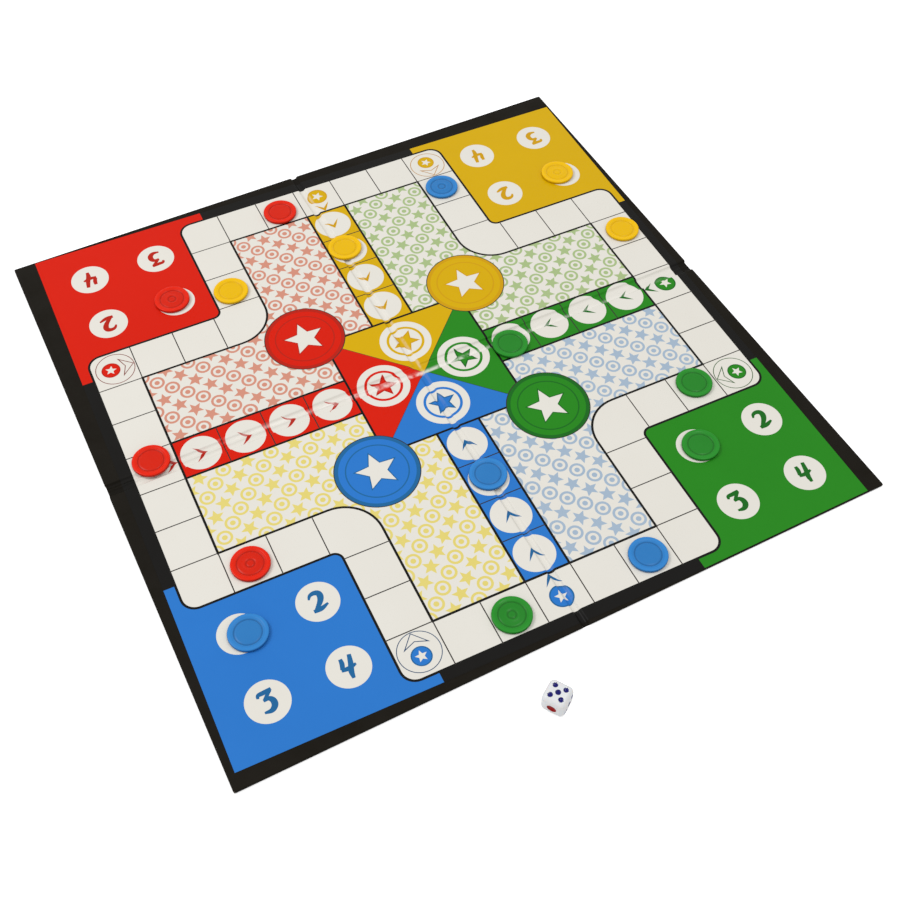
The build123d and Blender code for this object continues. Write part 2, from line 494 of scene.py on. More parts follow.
class Home(Enum):
    """The four players: quadrant signs, the column's turn from the back, then the four inks."""

    RED = (-1, 1, 90.0, Ink.RED, Ink.PALE_RED, Ink.DARK_RED, Ink.LINE_RED)
    YELLOW = (1, 1, 0.0, Ink.YELLOW, Ink.PALE_YELLOW, Ink.DARK_YELLOW, Ink.LINE_YELLOW)
    GREEN = (1, -1, 270.0, Ink.GREEN, Ink.PALE_GREEN, Ink.DARK_GREEN, Ink.LINE_GREEN)
    BLUE = (-1, -1, 180.0, Ink.BLUE, Ink.PALE_BLUE, Ink.DARK_BLUE, Ink.LINE_BLUE)

    def __init__(self, sx: int, sy: int, turn: float, *inks: Ink) -> None:
        """Keep the signs, the turn and the inks by name."""
        self.sx, self.sy, self.turn = sx, sy, turn
        self.full, self.pale, self.dark, self.line = inks


@dataclass(frozen=True)
class BoardSizes:
    """The board's own sizes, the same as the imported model's, and how the print lies on it."""

    half: float = 178.5
    top: float = 1.8
    border_top: float = 1.73
    sheet: float = 0.15
    floor: float = 0.3
    narrow_half: float = 1.9
    wide_half: float = 3.9
    edge_radius: float = 0.5
    corner_radius: float = 1.0
    label_width: float = 343.4
    label_depth: float = 348.0
    label_turn: float = -1.93
    label_shift: Point = (2.0, -2.2)
    label_skew: float = 0.5
    label_cut_shift: float = -0.8
    trim_half: float = 178.0
    print_turn: float = -1.53
    print_shift: Point = (1.92, -2.18)
    cell_width: float = 24.814
    cell_depth: float = 25.042

    def board_point(self, u: float, v: float) -> Point:
        """Place a point of the print on the board, from cells right of and behind its centre."""
        return turned([(u * self.cell_width, v * self.cell_depth)], self.print_turn, self.print_shift)[0]

    def label_corners(self) -> list[Point]:
        """Corners of the label's sheet on the board.

        Returns:
            The corners, counter-clockwise.
        """
        lean = math.tan(math.radians(self.label_skew)) * self.label_depth / 2
        left = self.label_cut_shift - self.label_width / 2
        right = self.label_cut_shift + self.label_width / 2
        low = -self.label_depth / 2
        corners = [(left + lean, low), (right + lean, low), (right - lean, -low), (left - lean, -low)]
        return turned(corners, self.label_turn, self.label_shift)


# ---- flat outlines -----------------------------------------------------------------------------
def circle(centre: Point, radius: float, count: int) -> list[Point]:
    """Points of a circle, counter-clockwise."""
    angles = [2 * math.pi * i / count for i in range(count)]
    return [(centre[0] + radius * math.cos(a), centre[1] + radius * math.sin(a)) for a in angles]


def star(centre: Point, radius: float, turn: float, waist: float = 0.45) -> list[Point]:
    """Make the outline of a five-pointed star.

    Args:
        centre: Its centre.
        radius: Centre to a tip.
        turn: Direction of one tip, in degrees.
        waist: Centre to an inner point, as a share of the radius.

    Returns:
        The outline, counter-clockwise.
    """
    made = []
    for i in range(10):
        reach = radius * waist if i % 2 else radius
        angle = math.radians(turn) + math.pi * i / 5
        made.append((centre[0] + reach * math.cos(angle), centre[1] + reach * math.sin(angle)))
    return made


def box(x0: float, y0: float, x1: float, y1: float) -> list[Point]:
    """Corners of a box, counter-clockwise."""
    left, right, low, high = min(x0, x1), max(x0, x1), min(y0, y1), max(y0, y1)
    return [(left, low), (right, low), (right, high), (left, high)]


def area(outline: Sequence[Sequence[float]]) -> float:
    """Area of an outline seen from above, positive where it runs counter-clockwise."""
    return sum(a[0] * b[1] - b[0] * a[1] for a, b in zip(outline, [*outline[1:], outline[0]])) / 2


def turned(outline: Iterable[Point], turn: float, shift: Point = (0.0, 0.0)) -> list[Point]:
    """Turn an outline about the origin by degrees, then shift it."""
    c, s = math.cos(math.radians(turn)), math.sin(math.radians(turn))
    return [(x * c - y * s + shift[0], x * s + y * c + shift[1]) for x, y in outline]


def rounded(corners: Sequence[Point], radii: Sequence[float], count: int = 8) -> list[Point]:
    """Round the corners of an outline, outward or inward ones alike.

    Args:
        corners: The outline's corners in order.
        radii: One radius for each corner; 0 keeps it sharp.
        count: Steps round each corner.

    Returns:
        The rounded outline.
    """
    made: list[Point] = []
    for i, (corner, radius) in enumerate(zip(corners, radii)):
        if radius <= 0:
            made.append(corner)
            continue
        here = Vector(corner)
        back = (Vector(corners[i - 1]) - here).normalized()
        ahead = (Vector(corners[(i + 1) % len(corners)]) - here).normalized()
        middle = here + (back + ahead) * radius
        first, last = here + back * radius - middle, here + ahead * radius - middle
        start, end = math.atan2(first.y, first.x), math.atan2(last.y, last.x)
        sweep = (end - start + math.pi) % (2 * math.pi) - math.pi
        for k in range(count + 1):
            angle = start + sweep * k / count
            made.append((middle.x + radius * math.cos(angle), middle.y + radius * math.sin(angle)))
    return made


def brush(path: Sequence[Point], widths: Sequence[float], steps: int = 5) -> list[Point]:
    """A brush stroke along a smooth path.

    Args:
        path: Points of the stroke's middle.
        widths: Full width at each point.
        steps: Steps from one point of the path to the next.

    Returns:
        The stroke's outline.
    """
    knots = [np.array((*place, width)) for place, width in zip(path, widths)]
    knots = [2 * knots[0] - knots[1], *knots, 2 * knots[-1] - knots[-2]]
    fine = []
    for a, b, c, d in zip(knots, knots[1:], knots[2:], knots[3:]):
        for t in np.arange(steps) / steps:
            fine.append(0.5 * (2 * b + (c - a) * t + (2 * a - 5 * b + 4 * c - d) * t ** 2
                               + (3 * b - a - 3 * c + d) * t ** 3))
    fine.append(knots[-2])
    middles = [(float(knot[0]), float(knot[1])) for knot in fine]
    left, right = [], []
    for i, ((x, y), knot) in enumerate(zip(middles, fine)):
        before, after = Vector(middles[max(i - 1, 0)]), Vector(middles[min(i + 1, len(middles) - 1)])
        along = (after - before).normalized()
        side = Vector((-along.y, along.x)) * float(knot[2]) / 2
        left.append((x + side.x, y + side.y))
        right.append((x - side.x, y - side.y))
    return right + left[::-1]


# ---- the print ---------------------------------------------------------------------------------
# Strokes of each numeral: the middle's path and the widths along it.
NUMERALS: dict[int, list[tuple[list[Point], list[float]]]] = {
    1: [([(-0.2, 0.22), (0.08, 0.44)], [0.12, 0.2]),
        ([(0.06, 0.47), (0.02, 0.0), (-0.06, -0.47)], [0.2, 0.22, 0.2])],
    2: [([(-0.3, 0.2), (-0.2, 0.36), (-0.02, 0.41), (0.14, 0.34), (0.17, 0.17), (0.06, -0.06),
          (-0.26, -0.4)], [0.08, 0.15, 0.2, 0.24, 0.26, 0.22, 0.12]),
        ([(-0.3, -0.36), (0.02, -0.34), (0.34, -0.22)], [0.16, 0.2, 0.09])],
    3: [([(-0.3, 0.24), (-0.24, 0.37), (-0.02, 0.39), (0.28, 0.44)], [0.1, 0.16, 0.19, 0.13]),
        ([(0.22, 0.41), (-0.1, 0.08)], [0.16, 0.14]),
        ([(-0.14, 0.08), (0.08, 0.1), (0.2, -0.04), (0.19, -0.24), (0.02, -0.39), (-0.26, -0.38)],
         [0.12, 0.18, 0.24, 0.25, 0.2, 0.09])],
    4: [([(-0.18, 0.42), (-0.19, 0.2), (-0.26, -0.02)], [0.15, 0.19, 0.17]),
        ([(-0.31, -0.04), (0.0, -0.06), (0.3, 0.02)], [0.15, 0.19, 0.1]),
        ([(0.2, 0.48), (0.12, 0.1), (0.02, -0.2), (0.0, -0.5)], [0.16, 0.21, 0.22, 0.13])],
}
# Each home's discs: how far out the outer and inner ones stand, across and along.
DISC_ROWS = {Home.RED: (5.92, 4.31, 5.92, 4.38), Home.YELLOW: (5.96, 4.31, 5.94, 4.375),
             Home.GREEN: (6.0, 4.34, 5.91, 4.35), Home.BLUE: (5.93, 4.32, 5.885, 4.36)}
# How far the discs of a column stand beside its middle.
COLUMN_ASIDE = {Home.RED: 0.0, Home.YELLOW: -0.02, Home.GREEN: -0.04, Home.BLUE: 0.02}
# The home whose pale ink fills the ground beside each home.
GROUND_TINT = {Home.RED: Home.RED, Home.YELLOW: Home.GREEN, Home.GREEN: Home.BLUE, Home.BLUE: Home.YELLOW}
COLUMN_DART = [(0.0, -0.15), (0.09, -0.02), (0.18, 0.14), (0.07, 0.04), (0.0, -0.03), (-0.07, 0.04),
               (-0.18, 0.14), (-0.09, -0.02)]
START_DART = [(0.425, 0.0), (0.11, 0.28), (0.22, 0.0), (0.11, -0.28)]
START_DART_FACE = [(0.4, 0.0), (0.1564, 0.2151), (0.2383, 0.0), (0.1564, -0.2151)]


@dataclass
class Layer:
    """One printed shape: its outline on the board, its ink, and the layer that it is kept within."""

    outline: list[Point]
    ink: Ink
    within: int = -1


@dataclass
class PrintedArt:
    """The printed design of the label, as flat shapes that cover one another, sized in cells.

    Attributes:
        sizes: The board's sizes.
        line: Width of a thick line.
        fine: Width of a thin line.
        edge: Centre to the outer line of the track.
        arm: Half the width of the track's arms.
        square: Half the side of the centre square.
        layers: The shapes, lowest first.
    """

    sizes: BoardSizes
    line: float = 0.052
    fine: float = 0.024
    edge: float = 6.7
    arm: float = 3.5
    square: float = 1.7
    layers: list[Layer] = field(default_factory=list)

    def add(self, outline: Iterable[Point], ink: Ink, turn: float = 0.0, within: int = -1) -> int:
        """Print a shape given in cells.

        Args:
            outline: The shape's outline.
            ink: Its colour.
            turn: Degrees that it is turned about the print's centre.
            within: Index of the layer that it is clipped to, or -1.

        Returns:
            The new layer's index.
        """
        placed = [self.sizes.board_point(u, v) for u, v in turned(outline, turn)]
        if area(placed) < 0:
            placed.reverse()
        self.layers.append(Layer(placed, ink, within))
        return len(self.layers) - 1

    def discs(self, middle: Point, *discs: tuple[float, int, Ink], turn: float = 0.0,
              within: int = -1) -> None:
        """Print discs of one middle, each given by its radius, its steps and its ink."""
        for radius, count, ink in discs:
            self.add(circle(middle, radius, count), ink, turn, within)

    def build(self) -> list[Layer]:
        """Print everything.

        Returns:
            The layers, the sheet itself first.
        """
        self.layers.append(Layer(self.sizes.label_corners(), Ink.BLACK))
        near, far = 2.85, 7.3
        for home in Home:
            self.add(box(near * home.sx, near * home.sy, far * home.sx, far * home.sy), home.full)
        self.add(self._cross(self.line / 2), Ink.BLACK)
        self.add(self._cross(-self.line / 2), Ink.PAPER)
        for home in Home:
            self._tinted_ground(home)
        around = sorted(Home, key=lambda home: home.turn)
        self._centre(around)
        for home in around:
            self._column(home)
        self._cell_lines()
        for home in Home:
            self._home_discs(home)
            self._start_cell(home)
            self._roundel(home)
        return self.layers

    def _cross(self, grow: float) -> list[Point]:
        """The track's outline, grown by a distance.

        Args:
            grow: The distance.

        Returns:
            The outline.
        """
        arm, edge = self.arm + grow, self.edge + grow
        corners = [(arm, arm), (arm, edge), (-arm, edge), (-arm, arm), (-edge, arm), (-edge, -arm),
                   (-arm, -arm), (-arm, -edge), (arm, -edge), (arm, -arm), (edge, -arm), (edge, arm)]
        outward, inward = 0.3 + grow, max(0.18 - grow, 0.02)
        return rounded(corners, [inward if abs(x) == abs(y) else outward for x, y in corners])

    def _corner_ground(self, home: Home, grow: float) -> list[Point]:
        """The L-shaped ground beside two arms, grown by a distance.

        Args:
            home: The player whose quadrant it is in.
            grow: The distance.

        Returns:
            The outline.
        """
        near, inner, mid, far = 0.5 - grow, self.square - grow, 2.5 + grow, self.edge - 1 + grow
        corners = [(near, inner), (near, far), (mid, far), (mid, mid), (far, mid), (far, near),
                   (inner, near), (inner, inner)]
        radii = [0.0, 0.0, 0.0, 0.85 - grow, 0.0, 0.0, 0.0, 0.0]
        return [(home.sx * x, home.sy * y) for x, y in rounded(corners, radii, 12)]

    def _tinted_ground(self, home: Home) -> None:
        """The ground between the track and the columns, patterned with stars and roundels in turn.

        Args:
            home: The player whose quadrant it is in.
        """
        tint = GROUND_TINT[home].pale
        self.add(self._corner_ground(home, self.line / 2), Ink.BLACK)
        ground = self.add(self._corner_ground(home, -self.line / 2), Ink.PAPER)
        pitch, first, low, high, bend = 0.265, (0.42, 0.36), 0.25, 5.95, 3.1
        for i in range(40):
            for j in range(-20, 20):
                u, v = (i + j) * pitch + first[0], (i - j) * pitch + first[1]
                if not (low < u < high and low < v < high and min(u, v) < bend):
                    continue
                spot = (home.sx * u, home.sy * v)
                if j % 2:
                    self.add(star(spot, 0.19, 90 + 24 * ((i * 7 + j * 3) % 5)), tint, within=ground)
                else:
                    self.discs(spot, (0.17, 18, tint), (0.115, 16, Ink.PAPER), (0.06, 10, tint),
                               within=ground)

    def _centre(self, homes: Sequence[Home]) -> None:
        """The centre square: a triangle for each home, with a white disc, a ring and a star.

        Args:
            homes: The players, in the order of printing.
        """
        outer, inner = self.square + self.line / 2, self.square - self.line / 2
        self.add(box(-outer, -outer, outer, outer), Ink.BLACK)
        for home in homes:
            self.add([(0, 0), (inner, inner), (-inner, inner)], home.full, home.turn)
            middle = turned([(0, 0.98)], home.turn)[0]
            self.discs(middle, (0.59, 56, Ink.PAPER), (0.43, 40, home.full), (0.37, 40, Ink.PAPER))
            self.add(star(middle, 0.33, 270 + home.turn), home.dark)
            self.add(star(middle, 0.25, 270 + home.turn), home.full)
        reach, half_line = inner * math.sqrt(2), 0.006
        for turn in (45.0, 135.0):
            self.add(box(-reach, -half_line, reach, half_line), Ink.FINE_LINE, turn)

    def _column(self, home: Home) -> None:
        """A home column: coloured cells with discs and darts, and the mark at its outer end.

        Args:
            home: The player whose column it is.
        """
        inner, outer, half, cells = self.square, self.edge - 1, 0.5, 4
        grow, turn, aside = self.line / 2, home.turn, COLUMN_ASIDE[home]
        self.add(box(-half - grow, inner - grow, half + grow, outer + grow), Ink.BLACK, turn)
        self.add(box(-half + grow, inner + grow, half - grow, outer - grow), home.full, turn)
        for index in range(cells):
            middle = (aside, inner + (outer - inner) * (index + 0.5) / cells)
            if index:
                line = inner + (outer - inner) * index / cells
                self.add(box(-half, line - self.fine / 2, half, line + self.fine / 2), Ink.FINE_LINE, turn)
            self.discs(middle, (0.435, 48, Ink.PAPER), turn=turn)
            self.add(turned(COLUMN_DART, 0.0, middle), home.dark, turn)
        self.add(turned(COLUMN_DART, 0.0, (0.0, outer + 0.16)), home.dark, turn)
        mark = (0.21, outer + 0.517) if home is Home.RED else (0.0, outer + 0.58)
        self.discs(mark, (0.25, 32, home.dark), (0.22, 32, home.full), turn=turn)
        self.add(star(mark, 0.15, 270), Ink.PAPER, turn)

    def _cell_lines(self) -> None:
        """The thin lines between the cells of the track."""
        half, last = self.fine / 2, self.edge - 1
        for turn in (0.0, 90.0, 180.0, 270.0):
            for u in (-2.5, -1.5, -0.5, 0.5, 1.5, 2.5):
                self.add(box(u - half, last, u + half, self.edge), Ink.FINE_LINE, turn)
            for v in (last, last - 1, last - 2):
                for side in (-1, 1):
                    self.add(box(2.5 * side, v - half, self.arm * side, v + half), Ink.FINE_LINE, turn)

    def _home_discs(self, home: Home) -> None:
        """The four white discs of a home, with numerals to be read from the home's side of the board.

        Args:
            home: The player whose home it is.
        """
        upside, size = home.sy > 0, 0.5
        facing = -1 if upside else 1
        outer_u, inner_u, outer_v, inner_v = DISC_ROWS[home]
        for number, (px, py) in {1: (-1, 1), 2: (1, 1), 3: (-1, -1), 4: (1, -1)}.items():
            u = home.sx * (outer_u if px * facing == home.sx else inner_u)
            v = home.sy * (outer_v if py * facing == home.sy else inner_v)
            self.discs((u, v), (0.437, 48, Ink.PAPER))
            for path, widths in NUMERALS[number]:
                shape = [(x * size, y * size) for x, y in brush(path, widths)]
                self.add(turned(shape, 180.0 if upside else 0.0, (u, v)), home.dark)

    def _start_cell(self, home: Home) -> None:
        """The start cell: a thin ring, a dart in outline and a small star.

        Args:
            home: The player whose cell it is.
        """
        turn = (home.turn - 90.0) % 360.0
        middle = (-self.edge + 0.53, 3.0)
        mark = (middle[0] - 0.1, middle[1])
        self.discs(middle, (0.44, 48, home.line), (0.44 - self.fine * 0.7, 48, Ink.PAPER), turn=turn)
        self.add(turned(START_DART, 0.0, middle), home.line, turn)
        self.add(turned(START_DART_FACE, 0.0, middle), Ink.PAPER, turn)
        self.discs(mark, (0.21, 32, home.dark), (0.185, 32, home.full), turn=turn)
        self.add(star(mark, 0.13, 0), Ink.PAPER, turn)

    def _roundel(self, home: Home) -> None:
        """The large roundel near a home's inner corner.

        Args:
            home: The player whose home it is.
        """
        middle = (2.03 * home.sx, 2.03 * home.sy)
        self.discs(middle, (0.92, 72, Ink.FINE_LINE), (0.90, 72, home.dark), (0.82, 72, home.full),
                   (0.68, 64, home.dark), (0.65, 64, home.full))
        self.add(star(middle, 0.52, 90), home.dark)
        self.add(star(middle, 0.46, 90), Ink.PAPER)


# ---- the fold lines ----------------------------------------------------------------------------
def rough(x: float, y: float, waves: float, seed: float) -> float:
    """Smooth noise at a place on the board, with some waves to the millimetre."""
    return noise.noise(Vector((x * waves, y * waves, seed)))


@dataclass
class FoldRelief:
    """Heights of the sheets on top of the board, which dip into the fold lines.

    Attributes:
        sizes: The board's sizes.
        narrow_steps: Distances from the narrow line's middle at which the mesh has edges.
        wide_steps: The same for the wide line.
        along_step: Longest edge along a line.
        wander: How far the middle of a line strays.
    """

    sizes: BoardSizes
    narrow_steps: tuple[float, ...] = (0.0, 0.35, 0.75, 1.1, 1.4, 1.65, 1.9, 2.05, 2.25, 2.5, 3.1)
    wide_steps: tuple[float, ...] = (0.0, 0.4, 0.9, 1.4, 2.0, 2.6, 3.1, 3.45, 3.7, 3.9, 4.05, 4.25, 4.5,
                                     5.2)
    along_step: float = 3.0
    wander: float = 0.25

    @staticmethod
    def _fall(across: float, half: float) -> float:
        """Depth share across a fold line.

        Args:
            across: Distance from the line's middle.
            half: Half the line's width.

        Returns:
            The share, 1 on the floor and 0 on the panel.
        """
        knots = [(0.0, 1.0), (half - 1.3, 0.97), (half - 0.8, 0.85), (half - 0.4, 0.6), (half - 0.15, 0.42),
                 (half, 0.25), (half + 0.2, 0.11), (half + 0.4, 0.03), (half + 0.6, 0.0)]
        return float(np.interp(abs(across), *zip(*knots)))

    def depth(self, x: float, y: float) -> float:
        """Depth of the top sheet under the panels' level.

        Args:
            x: Place across the board.
            y: Place along the board.

        Returns:
            The depth.
        """
        narrow_floor, wide_floor, ridge_end = 1.7, 3.2, 3.0
        stray = self.wander * rough(x, y, 0.05, 3.0)
        narrow = self._fall(x + stray * (abs(x) < narrow_floor), self.sizes.narrow_half)
        wide = self._fall(y + stray * (abs(y) < wide_floor), self.sizes.wide_half)
        crumple = rough(x, y, 0.16, 7.0) + 0.5 * rough(x, y, 0.5, 1.0)
        # A crumpled ridge runs along the wide line's floor, high on the left and low on the right.
        if x < 0:
            ridge = math.exp(-((y - 0.3) / 0.85) ** 2) * (0.62 + 0.2 * crumple)
        else:
            ridge = 0.25 * math.exp(-(y / 0.6) ** 2) * (0.5 + 0.8 * crumple)
        share = max(narrow, max(wide - ridge, 0.0) if abs(y) < ridge_end else wide)
        # The sheets sink less about the crossing.
        centre = math.exp(-(x * x + y * y) / 150.0)
        share *= 1.0 - 0.10 * (1 + crumple) - 0.28 * centre * (0.6 + crumple)
        return (self.sizes.top - self.sizes.floor) * min(max(share, 0.0), 1.0)


class Region(Enum):
    """Where a piece of a sheet belongs: on a panel, or on the strip over one fold line.

    The panels that it lies on or between come first; only a panel and a left strip go with the first of
    them. An empty word keeps a left strip from counting as a panel.
    """

    RED = ("panel_red",)
    YELLOW = ("panel_yellow",)
    GREEN = ("panel_green",)
    BLUE = ("panel_blue",)
    BACK_STRIP = ("panel_yellow", "panel_red")
    FRONT_STRIP = ("panel_green", "panel_blue")
    RIGHT_STRIP = ("panel_green", "panel_yellow")
    LEFT_STRIP_RED = ("panel_red", "")
    LEFT_STRIP_BLUE = ("panel_blue", "")
    CROSSING = ("panel_green", "panel_yellow", "")

    @property
    def whole(self) -> bool:
        """Whether it is a panel."""
        return len(self.value) == 1

    @staticmethod
    def at(x: float, y: float, sizes: BoardSizes) -> Region:
        """Find the region that holds a point of the board.

        Args:
            x: Place across the board.
            y: Place along the board.
            sizes: The board's sizes.

        Returns:
            The region.
        """
        behind, left = y > 0, x <= 0
        if abs(x) < sizes.narrow_half:
            if abs(y) < sizes.wide_half:
                return Region.CROSSING
            return Region.BACK_STRIP if behind else Region.FRONT_STRIP
        if abs(y) < sizes.wide_half:
            halves = Region.LEFT_STRIP_RED if behind else Region.LEFT_STRIP_BLUE
            return halves if left else Region.RIGHT_STRIP
        if behind:
            return Region.RED if left else Region.YELLOW
        return Region.BLUE if left else Region.GREEN

    def carry(self, piece: Object, sizes: BoardSizes) -> None:
        """Fix a piece to its panel, or a left strip to its first panel; the other strips keep their place
        baked into their meshes and go with no body.

        Args:
            piece: The piece, with its final mesh.
            sizes: The board's sizes. Not used.
        """
        if self in (Region.BACK_STRIP, Region.FRONT_STRIP):
            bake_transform(piece)
        elif self in (Region.RIGHT_STRIP, Region.CROSSING):
            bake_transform(piece)
        else:
            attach(piece, self.value[0])


# ---- meshes ------------------------------------------------------------------------------------
def add_object(name: str, data: bpy.types.ID) -> Object:
    """Make an object, linked to the scene.

    Args:
        name: Its name.
        data: Its data.

    Returns:
        The object.
    """
    made = bpy.data.objects.new(name, data)
    bpy.context.scene.collection.objects.link(made)
    return made


def mesh_piece(name: str, skin: Skin, materials: Sequence[Material],
               slots: Sequence[int] | None = None) -> Object:
    """Make a smooth mesh object from points in millimetres.

    Args:
        name: The piece's name.
        skin: Its points, and its faces as indices of points.
        materials: Its materials.
        slots: Material index of each face, or None for the first.

    Returns:
        The object, linked to the scene.
    """
    points, faces = skin
    data = bpy.data.meshes.new(name)
    data.from_pydata([[c * MM for c in p] for p in points], [], [list(f) for f in faces])
    for material in materials:
        data.materials.append(material)
    if slots is not None:
        data.polygons.foreach_set("material_index", list(slots))
    data.polygons.foreach_set("use_smooth", [True] * len(data.polygons))
    data.validate()
    data.update()
    return add_object(name, data)


def merge(mesh: Mesh, *others: Mesh) -> None:
    """Take in the faces of other meshes, and make points that coincide one.

    Args:
        mesh: The mesh that takes them in.
        *others: The other meshes.
    """
    work = bmesh.new()
    for source in (mesh, *others):
        work.from_mesh(source)
    bmesh.ops.remove_doubles(work, verts=work.verts, dist=MERGE)
    work.to_mesh(mesh)
    work.free()


def thicken(piece: Object, thickness: float) -> None:
    """Give a sheet its thickness on the side away from its face, with crisp edges.

    Args:
        piece: The sheet, which gets a closed mesh.
        thickness: Its thickness.
    """
    crisp_angle = 62
    shell = piece.modifiers.new("thickness", "SOLIDIFY")
    shell.thickness = thickness * MM
    shell.offset = -1.0
    graph = bpy.context.evaluated_depsgraph_get()
    closed = bpy.data.meshes.new_from_object(piece.evaluated_get(graph))
    piece.modifiers.clear()
    old, piece.data = piece.data, closed
    bpy.data.meshes.remove(old)
    closed.set_sharp_from_angle(angle=math.radians(crisp_angle))


@dataclass
class TopSheets:
    """The label and the wrap's turned-in border: one flat plan, cut and draped together."""

    sizes: BoardSizes
    relief: FoldRelief
    effects: Effects

    def build(self, leatherette: Material) -> dict[str, dict[Region, Object]]:
        """Cut, drape and make every piece.

        Args:
            leatherette: The wrap's material.

        Returns:
            The pieces of the label and of the border, by region.
        """
        layers = PrintedArt(self.sizes).build()
        points, triangles, owners = self._plan(layers)
        inks = list(Ink)
        kept: dict[tuple[str, Region], list[tuple[Face, int]]] = {}
        for triangle, owner in zip(triangles, owners):
            if 0 not in owner:
                continue
            middle = np.mean([points[i] for i in triangle], axis=0)
            region = Region.at(middle[0], middle[1], self.sizes)
            sheet, slot = "border", 0
            if 1 in owner:
                # Shape 0 counts as layer -1, which is what a layer that isn't clipped lies within.
                shown = [i - 1 for i in owner if i and layers[i - 1].within + 1 in owner]
                sheet, slot = "label", inks.index(layers[max(shown)].ink)
            kept.setdefault((sheet, region), []).append((triangle, slot))
        materials = {"label": [ink.finish().build(self.effects) for ink in inks], "border": [leatherette]}
        made: dict[str, dict[Region, Object]] = {"label": {}, "border": {}}
        for (sheet, region), faces in kept.items():
            made[sheet][region] = self._piece(sheet, region, points, faces, materials[sheet])
        return made

    def _plan(self, layers: Sequence[Layer]) -> tuple[list[Point], list[Face], list[set[int]]]:
        """Triangulate the flat plan, with extra lines along the folds.

        Args:
            layers: The printed shapes.

        Returns:
            The points, the triangles, and for each triangle the shapes that hold it. Shape 0 is the
            board's top, and shape i is layer i - 1.
        """
        s = self.sizes
        inset = s.half - s.edge_radius
        outline = rounded(box(-inset, -inset, inset, inset), [s.corner_radius - s.edge_radius] * 4, 4)
        sheet = self._trim(layers[0].outline, s.trim_half)
        verts: list[Vector] = []
        faces: list[list[int]] = []
        edges: list[tuple[int, int]] = []
        for shape in [outline, sheet, *(layer.outline for layer in layers[1:])]:
            faces.append(list(range(len(verts), len(verts) + len(shape))))
            verts.extend(Vector(p) for p in shape)
        for start, end in self._lines():
            edges.append((len(verts), len(verts) + 1))
            verts.extend((Vector(start), Vector(end)))
        triangles_only, near = 0, 1e-5
        result = delaunay_2d_cdt(verts, edges, faces, triangles_only, near)
        return [(p.x, p.y) for p in result[0]], result[2], [set(owner) for owner in result[5]]

    @staticmethod
    def _trim(outline: Sequence[Point], half: float) -> list[Point]:
        """Cut an outline to a square about the origin.

        Args:
            outline: The outline.
            half: Half the square's side.

        Returns:
            The cut outline.
        """
        kept = [Vector(p) for p in outline]
        for axis, sign in ((0, 1), (0, -1), (1, 1), (1, -1)):
            cut: list[Vector] = []
            for before, here in zip([kept[-1], *kept], kept):
                inside, was_inside = here[axis] * sign <= half, before[axis] * sign <= half
                if inside != was_inside:
                    share = (half * sign - before[axis]) / (here[axis] - before[axis])
                    cut.append(before.lerp(here, share))
                if inside:
                    cut.append(here)
            kept = cut
        return [(p.x, p.y) for p in kept]

    def _lines(self) -> list[tuple[Point, Point]]:
        """Make the extra lines that give the folds their shape.

        Returns:
            The start and end point of each line.
        """
        reach = self.sizes.half
        count = int(2 * reach / self.relief.along_step)
        made = []
        for steps, upright in ((self.relief.narrow_steps, True), (self.relief.wide_steps, False)):
            places = [at for step in steps for at in ((step, -step) if step else (step,))]
            lines = [((at, -reach), (at, reach)) for at in places]
            for i in range(1, count):
                at = -reach + 2 * reach * i / count
                lines.append(((-steps[-1], at), (steps[-1], at)))
            made += lines if upright else [(start[::-1], end[::-1]) for start, end in lines]
        return made

    def _piece(self, sheet: str, region: Region, points: Sequence[Point],
               faces: Sequence[tuple[Face, int]], materials: Sequence[Material]) -> Object:
        """Make one draped piece.

        Args:
            sheet: "label" or "border".
            region: Where it belongs.
            points: The plan's points.
            faces: Its triangles, each with its material index.
            materials: Its materials.

        Returns:
            The piece.
        """
        used = sorted({i for triangle, _ in faces for i in triangle})
        place = {old: new for new, old in enumerate(used)}
        level = self.sizes.top if sheet == "label" else self.sizes.border_top
        coords = [(x, y, level - self.relief.depth(x, y)) for x, y in (points[old] for old in used)]
        triangles = []
        for triangle, _ in faces:
            ids = [place[i] for i in triangle]
            triangles.append(ids if area([coords[i] for i in ids]) > 0 else ids[::-1])
        made = mesh_piece(f"{sheet}_{region.name.lower()}_sheet", (coords, triangles), materials,
                          [slot for _, slot in faces])
        if sheet == "label":
            thicken(made, self.sizes.sheet)
        return made


